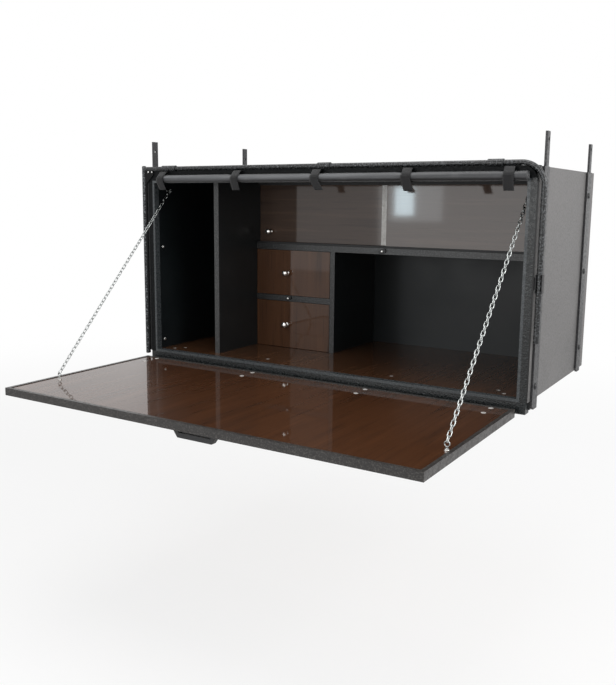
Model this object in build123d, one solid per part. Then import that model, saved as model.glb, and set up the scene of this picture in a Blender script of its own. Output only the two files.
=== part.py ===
from build123d import *
import math
import os

os.makedirs("parts", exist_ok=True)

# Kitchen box that hangs under a truck body on four steel bars.
# Everything is drawn in millimetres from the front frame: X from the frame's left
# edge to the right, Y from the frame's front plane into the box, Z up from the
# frame's bottom edge. The last step moves it all to the hanging bolt holes.

# ---------------------------------------------------------------- driving sizes
# Front frame of angle iron
FRAME_W = 1200.0            # outer width
FRAME_H = 590.0             # outer height
ANGLE_T = 3.0               # thickness of the angle iron
ANGLE_FLANGE = 28.0         # how far its second leg runs back
FACE_SIDE = 16.0            # dark face beside the opening
FACE_TOP = 29.0             # dark face above it
FACE_BOTTOM = 29.0          # dark face below it
LIP_W = 7.0                 # light lip round the opening
LIP_DEPTH = 20.0

# Carcass
BOX_DEPTH = 540.0           # front plane to the outside of the back
TOP_DROP = 2.0              # outer sheet's top below the frame's
SKIN_T = 4.0                # pebbled outer sheet
SKIN_LOW = 30.0             # lower edge of the side sheets
BOARD_T = 20.0              # side boards
TOP_T = 18.0
FLOOR_T = 18.0
BACK_T = 11.0
LAMINATE_T = 2.0            # glossy floor covering

# Compartments
DIVIDER_T = 17.0            # tall left divider
LEFT_BAY_W = 192.0          # clear width left of it
DIVIDER_FRONT = 55.0        # its front edge
INNER_FRONT = 255.0         # front plane of drawers and shelf
SHELF_T = 18.0
SHELF_Z = 350.0             # underside of the shelf
DRAWER_BAY_W = 275.0
POST_T = 16.0               # divider right of the drawers
RAIL_T = 18.0               # board between the drawers
RAIL_Z = 187.0              # its underside

# Drawers
DRAWER_GAP = 1.2            # all round a drawer front
DRAWER_FRONT_T = 16.0
DRAWER_BACK_GAP = 25.0      # drawer's back to the back of the box
DRAWER_WALL = 12.0
DRAWER_BASE = 5.0
DRAWER_SIDE_GAP = 3.0
DRAWER_HEADROOM = 13.0
RUNNER_H = 6.0
RUNNER_W = 12.0

# Sliding panels of the upper compartment
PANEL_T = 4.0
PANEL_LAP = 12.0            # how far they pass each other when shut
PANEL_MEET = 688.0          # left edge of the front panel, from the frame's edge
TRACK_W = 24.0
TRACK_LOW_H = 6.0
TRACK_TOP_H = 14.0
TRACK_SETBACK = 3.0         # shelf edge to track
TRACK_GAP = 0.5             # panel to groove wall
TRACK_PITCH = 10.0          # front groove to rear groove
STRIP_W = 20.0              # bright finger strip on the rear panel
STRIP_T = 1.0
PANEL_KNOB_X = 270.0
PANEL_KNOB_Z = 406.0

# Knobs and turn buttons
KNOB_R = 9.5
KNOB_LENGTH = 22.0
KNOB_NECK_R = 4.2
KNOB_FOOT_R = 7.0
UPPER_KNOB_X = 347.0
UPPER_KNOB_Z = 277.0
LOWER_KNOB_X = 345.0
LOWER_KNOB_Z = 111.0
BUTTON_L = 26.0
BUTTON_W = 9.0
BUTTON_T = 5.0
BUTTON_GAP = 0.3
BUTTON_TILT = 70.0          # degrees off upright while unlocked
BUTTON_SCREW_R = 2.0
RAIL_BUTTON_X = 352.0
SHELF_BUTTON_X = 682.0
SHELF_BUTTON_L = 24.0
SHELF_BUTTON_W = 12.0

# Drop-down door
DOOR_LEFT = -4.0            # its left edge
DOOR_INSET = 20.0           # its right edge inside the frame's
DOOR_L = 536.0              # hinge edge to free edge
DOOR_T = 20.0
DOOR_Z = -5.0               # underside while open
DOOR_GAP = 16.0             # frame face to hinge edge
EDGING_T = 1.5
EDGING_LEG = 10.0
DOOR_LAMINATE_T = 1.5
DOOR_SKIN_T = 1.5

# Door hinges
HINGES_LEFT = (50.0, 418.0)     # from the frame's left edge
HINGES_RIGHT = (416.0, 74.0)    # from its right edge
HINGE_AXIS_Y = -9.5
HINGE_AXIS_Z = 7.5
KNUCKLE_R = 5.0
PIN_R = 2.5
PIN_FIT = 0.08              # running clearance round the pin
KNUCKLE_MID = 25.0          # door knuckle
KNUCKLE_END = 12.2          # each frame knuckle
KNUCKLE_GAP = 0.3
LEAF_T = 2.5
LEAF_LOW = 1.0
LEAF_HIGH = 12.5
STRAP_T = 3.0
STRAP_L = 94.0
HINGE_BOLT_Y = (-32.8, -84.0)
HINGE_BOLT_R = 3.0
HINGE_HEAD_R = 6.3
HINGE_HEAD_T = 1.3
NUT_R = 5.5
NUT_T = 4.0

# Door handle
HANDLE_OFF = -73.0          # its left end from the middle of the frame
HANDLE_W = 148.0
HANDLE_DROP = 32.5          # below the door's sheet
HANDLE_GRIP = 12.0          # height of its lower bar
HANDLE_BAR = 8.0            # thickness of its slanted ends
HANDLE_SLANT = 24.0
HANDLE_DEPTH = 14.0
HANDLE_BACK = 40.0          # free edge of the door to the handle

# Chains and their eyes
CHAIN_GAP_LEFT = 12.0       # left wall to the chain
CHAIN_GAP_RIGHT = 16.5      # right wall to the chain
WALL_EYE_LEFT = 62.0        # wall eyes behind the front plane
WALL_EYE_RIGHT = 70.0
WALL_EYE_DROP = 59.0        # below the top of the frame
DOOR_EYE_Y = -402.0
EYE_R = 5.6                 # middle of the wire to the middle of the eye
EYE_WIRE = 2.6
EYE_BOLT_R = 2.6
EYE_STAND = 9.0             # door face to the middle of the eye
EYE_WASHER_R = 6.0
EYE_WASHER_T = 1.2
EYE_NUT_R = 5.0
EYE_NUT_T = 3.0
EYE_SCREW = 14.0            # how deep a wall eye is screwed into its board
LINK_WIRE = 3.0
LINK_W = 11.0
LINK_COUNT = 55
LINK_PLAY = 0.3

# Awning tube
TUBE_R = 6.35
TUBE_WALL = 1.2
TUBE_RISE = 6.6             # its middle above the frame
TUBE_BEND_R = 55.0
TUBE_OUT = 17.0             # middle of each leg beyond the frame's edge
LEG_LEFT_LOW = 22.0
LEG_RIGHT_LOW = 178.0
CAP_T = 3.0
GUSSET_W = 34.0
GUSSET_H = 38.0
GUSSET_T = 3.0
GUSSET_TAIL_W = 6.2         # flat that runs down beside the left leg
GUSSET_SCREW_X = (3.0, 18.0)
GUSSET_SCREW_DROP = 9.7     # below the middle of the tube
GUSSET_SCREW_R = 1.5
GUSSET_HEAD_R = 2.7
CORNER_R = 38.0             # rounding of the frame inside the tube's bend
RELIEF_GAP = 1.5            # behind the tube there
BARREL_R = 9.0
BARREL_FIT = 0.3
BARREL_LEFT = (60.0, 112.0)     # ends, from the frame's left edge
BARREL_MIDDLE = (12.0, 50.0)    # from its middle
BARREL_RIGHT = (119.0, 81.0)    # from its right edge
BARREL_SLIT = 90.0          # where the first barrel is divided
CLIP_LOW = 295.0
CLIP_HIGH = 339.0
CLIP_T = 1.8
CLIP_FIT = 0.35
CLIP_REACH = 7.0            # jaws in front of the leg's middle

# Rolled awning sheet and its straps
ROLL_LEFT = 60.0
ROLL_INSET = 16.0           # its right end inside the frame's edge
ROLL_Y = -17.0
ROLL_DROP = 25.0            # its middle below the top of the frame
ROLL_R = 11.9
ROLL_WAIST_R = 11.0
ROLL_WAIST = 32.0           # drawn-in length at each strap
WEBBING_T = 1.4
WEBBING_GAP = 0.3
WEBBING_DROP = 4.0          # its upper end below the top of the frame
# left edge, width, how far the tail leans to the right, how far it hangs below the roll's middle
STRAPS_LEFT = ((60.0, 26.0, 14.0, 32.0), (338.0, 26.0, 9.0, 33.0))
STRAP_MIDDLE = (3.0, 26.0, 17.0, 32.5)                              # left edge from the frame's middle
STRAPS_RIGHT = ((332.0, 26.0, 10.0, 35.0), (73.0, 25.5, 4.0, 34.0)) # left edge from the frame's right edge
TAIL_TOP = 4.0              # above the roll's middle
TAIL_BEND = 6.0             # below it, where the tail starts to lean

# Hanging bars
BAR_T = 6.0
BAR_W = 40.0
TONGUE_W = 20.0
LEFT_BAR_RISE = (90.0, 96.0)    # tops of the front and rear bars above the frame
RIGHT_BAR_RISE = (78.0, 74.0)
BAR_HOLE_RISE = 60.0        # bolt holes above the frame
BAR_HOLE_R = 4.25
BAR_CHAMFER = 12.0
FRONT_BAR_Y = 40.0
FRONT_BAR_LOW = 8.0
REAR_BAR_BACK_LEFT = 30.5   # middle of each rear bar to the back of the box
REAR_BAR_BACK_RIGHT = 75.0
REAR_BAR_LOW = 26.0
BAR_BOLT_R = 3.0
BAR_BOLT_FIT = 0.1
BOLT_HEAD_R = 8.0
BOLT_HEAD_T = 4.0
BOLT_END_R = 5.0
BOLT_END_T = 2.5
FRONT_BOLT_Z = (357.0, 63.0)
RIGHT_FRONT_BOLT_Z = (351.0, 293.0, 64.0)
REAR_BOLT_Z = (314.0, 96.0)
REAR_BOLT_DROP = 66.0       # uppermost rear bolts below the top of the frame

# Screws on show
SCREW_R = 2.5
SCREW_HEAD_R = 5.0
SCREW_HEAD_T = 1.6
SINK_BELOW = 0.1            # a countersunk head below the floor's face
SCREW_LENGTH = 12.0
FLOOR_SCREWS_LEFT = ((59.0, 42.0), (82.0, 66.0), (404.0, 65.0))
FLOOR_SCREWS_RIGHT = ((386.0, 62.0), (89.0, 66.0), (66.0, 39.0))    # from the frame's right edge

# ---------------------------------------------------------------- derived places
box_top = FRAME_H - TOP_DROP
open_left = FACE_SIDE + LIP_W
open_right = FRAME_W - FACE_SIDE - LIP_W
open_low = FACE_BOTTOM + LIP_W
open_high = FRAME_H - FACE_TOP - LIP_W
tube_z = FRAME_H + TUBE_RISE
roll_z = FRAME_H - ROLL_DROP
webbing_top = FRAME_H - WEBBING_DROP
wall_eye_z = FRAME_H - WALL_EYE_DROP
bar_hole_z = FRAME_H + BAR_HOLE_RISE
rear_bar_left = BOX_DEPTH - REAR_BAR_BACK_LEFT
rear_bar_right = BOX_DEPTH - REAR_BAR_BACK_RIGHT
wall_eye_y = {"left": WALL_EYE_LEFT, "right": WALL_EYE_RIGHT}

in_left = BOARD_T
in_right = FRAME_W - BOARD_T
floor_z = open_low
floor_board_top = floor_z - LAMINATE_T
back_face = BOX_DEPTH - SKIN_T
in_back = back_face - BACK_T
roof_top = box_top - SKIN_T
in_roof = roof_top - TOP_T
drawer_length = in_back - INNER_FRONT - DRAWER_BACK_GAP

chain_left_x = in_left + CHAIN_GAP_LEFT
chain_right_x = in_right - CHAIN_GAP_RIGHT

divider_left = in_left + LEFT_BAY_W
divider_right = divider_left + DIVIDER_T
post_left = divider_right + DRAWER_BAY_W
post_right = post_left + POST_T
shelf_top = SHELF_Z + SHELF_T
rail_top = RAIL_Z + RAIL_T

floor_screws = [*FLOOR_SCREWS_LEFT, *((FRAME_W - d, y) for d, y in FLOOR_SCREWS_RIGHT)]

track_front = INNER_FRONT + TRACK_SETBACK
groove_w = PANEL_T + 2 * TRACK_GAP
front_groove = track_front + (TRACK_W - TRACK_PITCH - groove_w) / 2
rear_groove = front_groove + TRACK_PITCH
front_panel_y = front_groove + TRACK_GAP
rear_panel_y = rear_groove + TRACK_GAP
panel_low = shelf_top + TRACK_LOW_H / 2
panel_high = in_roof - TRACK_TOP_H / 2 + 2.0

door_right = FRAME_W - DOOR_INSET
hinge_x = [*HINGES_LEFT, *(FRAME_W - d for d in HINGES_RIGHT)]
door_back = -DOOR_GAP
door_free = door_back - DOOR_L
door_top = DOOR_Z + DOOR_T
door_face = door_top - EDGING_T
door_under = DOOR_Z + EDGING_T
door_board_low = door_under + DOOR_SKIN_T
door_board_high = door_face - DOOR_LAMINATE_T

left_bar_x = -SKIN_T
right_bar_x = FRAME_W + SKIN_T
leg_left_x = -TUBE_OUT
roll_right = FRAME_W - ROLL_INSET
straps = [*STRAPS_LEFT, (FRAME_W / 2 + STRAP_MIDDLE[0], *STRAP_MIDDLE[1:])]
straps += [(FRAME_W - d, *rest) for d, *rest in STRAPS_RIGHT]
barrel_spans = [BARREL_LEFT, tuple(FRAME_W / 2 + d for d in BARREL_MIDDLE), tuple(FRAME_W - d for d in BARREL_RIGHT)]
leg_right_x = FRAME_W + TUBE_OUT


# ---------------------------------------------------------------- small helpers
def block(x0, x1, y0, y1, z0, z1):
    return Pos((x0 + x1) / 2, (y0 + y1) / 2, (z0 + z1) / 2) * Box(x1 - x0, y1 - y0, z1 - z0)


def rod_x(x0, x1, y, z, r):
    return Pos((x0 + x1) / 2, y, z) * Rot(0, 90, 0) * Cylinder(r, x1 - x0)


def rod_y(y0, y1, x, z, r):
    return Pos(x, (y0 + y1) / 2, z) * Rot(90, 0, 0) * Cylinder(r, y1 - y0)


def rod_z(z0, z1, x, y, r):
    return Pos(x, y, (z0 + z1) / 2) * Cylinder(r, z1 - z0)


def slab_yz(points, x0, x1):
    """Plate between two X planes, from its outline in Y and Z."""
    face = make_face(Plane.YZ * Polyline(*points, close=True))
    return Pos(x0, 0, 0) * extrude(face, x1 - x0, dir=(1, 0, 0))


def slab_xz(points, y0, y1):
    """Plate between two Y planes, from its outline in X and Z."""
    face = make_face(Polyline(*[(x, 0, z) for x, z in points], close=True))
    return Pos(0, y0, 0) * extrude(face, y1 - y0, dir=(0, 1, 0))


def turned(profile, base, axis):
    """Solid of revolution about an axis through base; profile is (distance along it, radius)."""
    a = Vector(*axis)
    side = Vector(0, 0, 1) if abs(a.Z) < 0.5 else Vector(1, 0, 0)
    start = Vector(*base)
    points = [start + a * d + side * r for d, r in profile]
    face = make_face(Polyline(*points, close=True))
    return revolve(face, Axis(start, a), 360)


def dome(base, axis, r, height, rim):
    """Low domed screw or bolt head standing on base along axis."""
    return turned([(0, 0), (0, r), (rim, r), (height * 0.8, r * 0.72), (height, r * 0.35), (height, 0)], base, axis)


def sunk_screw(x, y, top, length, ease):
    """Countersunk screw with its head up at top; ease widens it to the hole it sits in."""
    return turned([(0, 0), (0, SCREW_HEAD_R + ease), (SCREW_HEAD_R - SCREW_R, SCREW_R + ease), (length, SCREW_R + ease), (length, 0)],
                  (x, y, top), (0, 0, -1))


nodes = {}


def keep(name, *solids):
    nodes[name] = list(solids)


# ---------------------------------------------------------------- bolt positions
bar_bolts = []
for z in FRONT_BOLT_Z:
    bar_bolts.append(("left", FRONT_BAR_Y, z))
for z in RIGHT_FRONT_BOLT_Z:
    bar_bolts.append(("right", FRONT_BAR_Y, z))
for z in (FRAME_H - REAR_BOLT_DROP, *REAR_BOLT_Z):
    bar_bolts.append(("left", rear_bar_left, z))
    bar_bolts.append(("right", rear_bar_right, z))


def side_holes(side, y, z, r):
    """Hole through bar, sheet and board on one side of the box."""
    if side == "left":
        return rod_x(left_bar_x - BAR_T - 1, in_left + 1, y, z, r)
    return rod_x(in_right - 1, right_bar_x + BAR_T + 1, y, z, r)


def drill(solid, side):
    for s, y, z in bar_bolts:
        if s == side:
            solid = solid - side_holes(s, y, z, BAR_BOLT_R + BAR_BOLT_FIT)
    return solid


def eye_hole(side):
    """Hole for a wall eye in the inner face of a side board."""
    wall, s = (in_left, 1) if side == "left" else (in_right, -1)
    return rod_x(*sorted((wall + s, wall - s * (EYE_SCREW + 1.0))), wall_eye_y[side], wall_eye_z, EYE_BOLT_R + BAR_BOLT_FIT)


# the frame and the sheet behind it are rounded off where the tube bends round the corner
corner_relief = block(FRAME_W - CORNER_R, FRAME_W + SKIN_T + 1, -1, TUBE_R + RELIEF_GAP, FRAME_H - CORNER_R, FRAME_H + 1)
corner_relief = corner_relief - rod_y(-2, TUBE_R + RELIEF_GAP + 1, FRAME_W - CORNER_R, FRAME_H - CORNER_R, CORNER_R)

# ---------------------------------------------------------------- front frame
keep("frame_bottom",
     block(0, FRAME_W, 0, ANGLE_T, 0, FACE_BOTTOM)
     + block(ANGLE_T, FRAME_W - ANGLE_T, ANGLE_T, ANGLE_FLANGE, 0, ANGLE_T))
frame_top = (block(0, FRAME_W, 0, ANGLE_T, FRAME_H - FACE_TOP, FRAME_H)
             + block(ANGLE_T, FRAME_W - ANGLE_T, ANGLE_T, ANGLE_FLANGE, FRAME_H - ANGLE_T, FRAME_H))
keep("frame_top", frame_top - corner_relief)
keep("frame_left",
     block(0, FACE_SIDE, 0, ANGLE_T, FACE_BOTTOM, FRAME_H - FACE_TOP)
     + block(0, ANGLE_T, ANGLE_T, ANGLE_FLANGE, 0, FRAME_H))
keep("frame_right",
     block(FRAME_W - FACE_SIDE, FRAME_W, 0, ANGLE_T, FACE_BOTTOM, FRAME_H - FACE_TOP)
     + block(FRAME_W - ANGLE_T, FRAME_W, ANGLE_T, ANGLE_FLANGE, 0, FRAME_H)
     - corner_relief)

lip_out_l, lip_out_r = FACE_SIDE, FRAME_W - FACE_SIDE
keep("opening_lip",
     block(lip_out_l, lip_out_r, 0, LIP_DEPTH, open_low - LIP_W, open_low),
     block(lip_out_l, lip_out_r, 0, LIP_DEPTH, open_high, open_high + LIP_W),
     block(lip_out_l, open_left, 0, LIP_DEPTH, open_low, open_high),
     block(open_right, lip_out_r, 0, LIP_DEPTH, open_low, open_high))

# ---------------------------------------------------------------- outer sheets
keep("side_skin_left", drill(block(-SKIN_T, 0, 0, BOX_DEPTH, SKIN_LOW, box_top), "left"))
keep("side_skin_right", drill(block(FRAME_W, FRAME_W + SKIN_T, 0, BOX_DEPTH, SKIN_LOW, box_top) - corner_relief, "right"))
keep("top_skin", block(0, FRAME_W, ANGLE_FLANGE, BOX_DEPTH, roof_top, box_top))
keep("back_skin", block(0, FRAME_W, back_face, BOX_DEPTH, SKIN_LOW, roof_top))

# ---------------------------------------------------------------- boards
side_board = block(0, in_left, LIP_DEPTH, in_back, SKIN_LOW, in_roof) - block(-1, ANGLE_T, 0, ANGLE_FLANGE, 0, FRAME_H)
keep("side_board_left", drill(side_board, "left") - eye_hole("left"))
side_board = (block(in_right, FRAME_W, LIP_DEPTH, in_back, SKIN_LOW, in_roof)
              - block(FRAME_W - ANGLE_T, FRAME_W + 1, 0, ANGLE_FLANGE, 0, FRAME_H))
keep("side_board_right", drill(side_board, "right") - eye_hole("right"))
top_board = block(ANGLE_T, FRAME_W - ANGLE_T, LIP_DEPTH, ANGLE_FLANGE, in_roof, roof_top) + block(
    0, FRAME_W, ANGLE_FLANGE, in_back, in_roof, roof_top)
keep("top_board", top_board)
keep("back_board", block(0, FRAME_W, in_back, back_face, SKIN_LOW, roof_top))
floor_board = block(in_left, in_right, LIP_DEPTH, in_back, floor_board_top - FLOOR_T, floor_board_top)
floor_sheet = block(in_left, in_right, LIP_DEPTH, in_back, floor_board_top, floor_z)
for x, y in floor_screws:
    hole = sunk_screw(x, y, floor_z, SCREW_LENGTH + 1, BAR_BOLT_FIT)
    floor_board = floor_board - hole
    floor_sheet = floor_sheet - hole
keep("floor_board", floor_board)
keep("floor_laminate", floor_sheet)

# ---------------------------------------------------------------- compartments
keep("left_divider", block(divider_left, divider_right, DIVIDER_FRONT, in_back, floor_z, in_roof))
keep("shelf", block(divider_right, in_right, INNER_FRONT, in_back, SHELF_Z, shelf_top)
     - rod_y(INNER_FRONT - 1, INNER_FRONT + SCREW_LENGTH + 1, SHELF_BUTTON_X, SHELF_Z + SHELF_T / 2, BUTTON_SCREW_R + BAR_BOLT_FIT))
keep("drawer_post", block(post_left, post_right, INNER_FRONT, in_back, floor_z, SHELF_Z))
runner_back = INNER_FRONT + drawer_length
rail = block(divider_right, post_left, INNER_FRONT, in_back, RAIL_Z, rail_top)
for x in (divider_right, post_left - RUNNER_W):
    rail = rail + block(x, x + RUNNER_W, INNER_FRONT + DRAWER_FRONT_T + DRAWER_GAP, runner_back, rail_top, rail_top + RUNNER_H)
rail = rail - rod_y(INNER_FRONT - 1, INNER_FRONT + SCREW_LENGTH + 1, RAIL_BUTTON_X, RAIL_Z + RAIL_T / 2, BUTTON_SCREW_R + BAR_BOLT_FIT)
keep("drawer_rail", rail)


# ---------------------------------------------------------------- drawers
def drawer(low, high, box_low, box_high, knob_x, knob_z):
    front = block(divider_right + DRAWER_GAP, post_left - DRAWER_GAP, INNER_FRONT, INNER_FRONT + DRAWER_FRONT_T,
                  low + DRAWER_GAP, high - DRAWER_GAP)
    x0 = divider_right + DRAWER_SIDE_GAP
    x1 = post_left - DRAWER_SIDE_GAP
    y0 = INNER_FRONT + DRAWER_FRONT_T
    y1 = INNER_FRONT + drawer_length
    tray = block(x0, x1, y0, y1, box_low, box_high) - block(
        x0 + DRAWER_WALL, x1 - DRAWER_WALL, y0 + DRAWER_WALL, y1 - DRAWER_WALL, box_low + DRAWER_BASE, box_high + 1)
    return front, tray, knob(knob_x, INNER_FRONT, knob_z)


def knob(x, y, z):
    n, r, length = KNOB_NECK_R, KNOB_R, KNOB_LENGTH
    return turned([(0, 0), (0, KNOB_FOOT_R), (1.5, KNOB_FOOT_R), (3.0, n + 0.8), (length * 0.38, n),
                   (length * 0.5, r * 0.72), (length * 0.62, r * 0.95), (length * 0.74, r), (length * 0.86, r * 0.9),
                   (length * 0.95, r * 0.62), (length, r * 0.22), (length, 0)], (x, y, z), (0, -1, 0))


upper_tray_low = rail_top + RUNNER_H + 0.3
lower_tray_low = floor_z + 0.5
front, tray, grip = drawer(rail_top, SHELF_Z, upper_tray_low, SHELF_Z - DRAWER_HEADROOM, UPPER_KNOB_X, UPPER_KNOB_Z)
keep("drawer_front_upper", front)
keep("drawer_tray_upper", tray)
keep("drawer_knob_upper", grip)
front, tray, grip = drawer(floor_z, RAIL_Z, lower_tray_low, RAIL_Z - DRAWER_HEADROOM, LOWER_KNOB_X, LOWER_KNOB_Z)
keep("drawer_front_lower", front)
keep("drawer_tray_lower", tray)
keep("drawer_knob_lower", grip)

# ---------------------------------------------------------------- sliding panels
low_track = block(divider_right, in_right, track_front, track_front + TRACK_W, shelf_top, shelf_top + TRACK_LOW_H)
top_track = block(divider_right, in_right, track_front, track_front + TRACK_W, in_roof - TRACK_TOP_H, in_roof)
for y in (front_groove, rear_groove):
    low_track = low_track - block(divider_right - 1, in_right + 1, y, y + groove_w, panel_low - TRACK_GAP, shelf_top + TRACK_LOW_H + 1)
    top_track = top_track - block(divider_right - 1, in_right + 1, y, y + groove_w, in_roof - TRACK_TOP_H - 1, panel_high + TRACK_GAP)
keep("panel_tracks", low_track, top_track)
keep("sliding_panel_right", block(PANEL_MEET, in_right - TRACK_GAP, front_panel_y, front_panel_y + PANEL_T, panel_low, panel_high))
rear_panel_right = PANEL_MEET + PANEL_LAP
keep("sliding_panel_left", block(divider_right + TRACK_GAP, rear_panel_right, rear_panel_y, rear_panel_y + PANEL_T, panel_low, panel_high))
keep("panel_strip", block(PANEL_MEET - STRIP_W, PANEL_MEET, rear_panel_y - STRIP_T, rear_panel_y,
                          shelf_top + TRACK_LOW_H + 1, in_roof - TRACK_TOP_H - 1))
keep("panel_knob", knob(PANEL_KNOB_X, rear_panel_y, PANEL_KNOB_Z))


# ---------------------------------------------------------------- turn buttons
def turn_button(x, z, length, width):
    y1 = INNER_FRONT - BUTTON_GAP
    y0 = y1 - BUTTON_T
    plate = block(-width / 2, width / 2, y0, y1, -(length - width) / 2, (length - width) / 2)
    plate = plate + rod_y(y0, y1, 0, (length - width) / 2, width / 2) + rod_y(y0, y1, 0, -(length - width) / 2, width / 2)
    plate = plate - rod_y(y0 - 1, y1 + 1, 0, 0, BUTTON_SCREW_R + PIN_FIT)
    return Pos(x, 0, z) * Rot(0, BUTTON_TILT, 0) * plate


def button_screw(x, z):
    y0 = INNER_FRONT - BUTTON_GAP - BUTTON_T
    head = dome((x, y0 - 0.2, z), (0, -1, 0), BUTTON_SCREW_R * 1.8, 2.0, 0.8)
    return head + rod_y(y0 - 0.2, INNER_FRONT + SCREW_LENGTH, x, z, BUTTON_SCREW_R)


rail_mid = RAIL_Z + RAIL_T / 2
shelf_mid = SHELF_Z + SHELF_T / 2
keep("rail_button", turn_button(RAIL_BUTTON_X, rail_mid, BUTTON_L, BUTTON_W))
keep("shelf_button", turn_button(SHELF_BUTTON_X, shelf_mid, SHELF_BUTTON_L, SHELF_BUTTON_W))
keep("button_screws", button_screw(RAIL_BUTTON_X, rail_mid), button_screw(SHELF_BUTTON_X, shelf_mid))

# ---------------------------------------------------------------- door
edging = block(DOOR_LEFT, door_right, door_free, door_back, DOOR_Z, door_top)
edging = edging - block(DOOR_LEFT + EDGING_T, door_right - EDGING_T, door_free + EDGING_T, door_back - EDGING_T, door_under, door_face)
edging = edging - block(DOOR_LEFT + EDGING_LEG, door_right - EDGING_LEG, door_free + EDGING_LEG, door_back - EDGING_LEG,
                        DOOR_Z - 1, door_top + 1)
board = block(DOOR_LEFT + EDGING_T, door_right - EDGING_T, door_free + EDGING_T, door_back - EDGING_T, door_board_low, door_board_high)
face = block(DOOR_LEFT + EDGING_T, door_right - EDGING_T, door_free + EDGING_T, door_back - EDGING_T, door_board_high, door_face)
skin = block(DOOR_LEFT + EDGING_T, door_right - EDGING_T, door_free + EDGING_T, door_back - EDGING_T, door_under, door_board_low)

strap_low = DOOR_Z - STRAP_T
hinge_bolts, hinge_straps, hinge_leaves, hinge_pins = [], [], [], []
for x in hinge_x:
    for y in HINGE_BOLT_Y:
        hole = rod_z(strap_low - 1, door_top + 1, x, y, HINGE_BOLT_R + BAR_BOLT_FIT)
        board, face, skin = board - hole, face - hole, skin - hole
        hinge_bolts.append(
            rod_z(strap_low - NUT_T - 1.5, door_face, x, y, HINGE_BOLT_R)
            + dome((x, y, door_face), (0, 0, 1), HINGE_HEAD_R, HINGE_HEAD_T, 0.5)
            + Pos(x, y, strap_low - NUT_T / 2) * extrude(RegularPolygon(NUT_R, 6), NUT_T / 2, both=True))
    half = KNUCKLE_MID / 2
    strap_end = door_back - STRAP_L
    strap = block(x - half, x + half, strap_end, HINGE_AXIS_Y - KNUCKLE_R + STRAP_T, strap_low, DOOR_Z)
    strap = strap + block(x - half, x + half, HINGE_AXIS_Y - KNUCKLE_R, HINGE_AXIS_Y - KNUCKLE_R + STRAP_T, strap_low, HINGE_AXIS_Z)
    strap = strap + rod_x(x - half, x + half, HINGE_AXIS_Y, HINGE_AXIS_Z, KNUCKLE_R)
    strap = strap - rod_x(x - half - 1, x + half + 1, HINGE_AXIS_Y, HINGE_AXIS_Z, PIN_R + PIN_FIT)
    strap = strap - block(x - half - 1, x + half + 1, door_free, door_back + 0.4, DOOR_Z, door_top + 1)
    # the skin's flange lies between strap and sheet only along the hinge edge
    packer = block(x - half, x + half, strap_end, door_back - EDGING_LEG - 0.2, DOOR_Z, door_under)
    strap = strap + packer
    for y in HINGE_BOLT_Y:
        strap = strap - rod_z(strap_low - 1, door_under + 1, x, y, HINGE_BOLT_R + BAR_BOLT_FIT)
    hinge_straps.append(strap)
    outer = half + KNUCKLE_GAP + KNUCKLE_END
    leaf = block(x - outer, x + outer, -LEAF_T, 0, LEAF_LOW, LEAF_HIGH)
    for a in (x - outer, x + half + KNUCKLE_GAP):
        ear = rod_x(a, a + KNUCKLE_END, HINGE_AXIS_Y, HINGE_AXIS_Z, KNUCKLE_R)
        ear = ear + block(a, a + KNUCKLE_END, HINGE_AXIS_Y, -LEAF_T / 2, HINGE_AXIS_Z - KNUCKLE_R, HINGE_AXIS_Z - PIN_R + 0.5)
        leaf = leaf + ear
    leaf = leaf - rod_x(x - outer - 1, x + outer + 1, HINGE_AXIS_Y, HINGE_AXIS_Z, PIN_R + PIN_FIT / 2)
    leaf = leaf - rod_x(x - half - KNUCKLE_GAP, x + half + KNUCKLE_GAP, HINGE_AXIS_Y, HINGE_AXIS_Z, KNUCKLE_R + 0.4)
    hinge_leaves.append(leaf)
    hinge_pins.append(rod_x(x - outer - 1, x + outer + 1, HINGE_AXIS_Y, HINGE_AXIS_Z, PIN_R))

# ---------------------------------------------------------------- eyes and chains
def eye_ring(centre, normal):
    """Round eye of bent wire; normal is square to its plane."""
    ring_plane = Plane(origin=centre, z_dir=normal)
    return ring_plane.location * Torus(EYE_R, EYE_WIRE / 2)


door_eyes, door_nuts, wall_eyes = [], [], []
for x in (chain_left_x, chain_right_x):
    hole = rod_z(strap_low - 1, door_top + 1, x, DOOR_EYE_Y, EYE_BOLT_R + BAR_BOLT_FIT)
    board, face, skin = board - hole, face - hole, skin - hole
    mid = door_face + EYE_WASHER_T + EYE_NUT_T + EYE_STAND
    ring = eye_ring((x, DOOR_EYE_Y, mid), (0, 1, 0))
    stem = rod_z(door_under - EYE_NUT_T - 2.0, mid - EYE_R, x, DOOR_EYE_Y, EYE_BOLT_R)
    door_eyes.append(ring + stem)
    washer = rod_z(door_face, door_face + EYE_WASHER_T, x, DOOR_EYE_Y, EYE_WASHER_R)
    nut = Pos(x, DOOR_EYE_Y, door_face + EYE_WASHER_T) * extrude(RegularPolygon(EYE_NUT_R, 6), EYE_NUT_T)
    low_nut = Pos(x, DOOR_EYE_Y, door_under - EYE_NUT_T) * extrude(RegularPolygon(EYE_NUT_R, 6), EYE_NUT_T)
    bore = rod_z(door_under - 20, door_top + 20, x, DOOR_EYE_Y, EYE_BOLT_R + BAR_BOLT_FIT / 2)
    door_nuts.append(washer + nut - bore)
    door_nuts.append(low_nut - bore)

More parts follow.
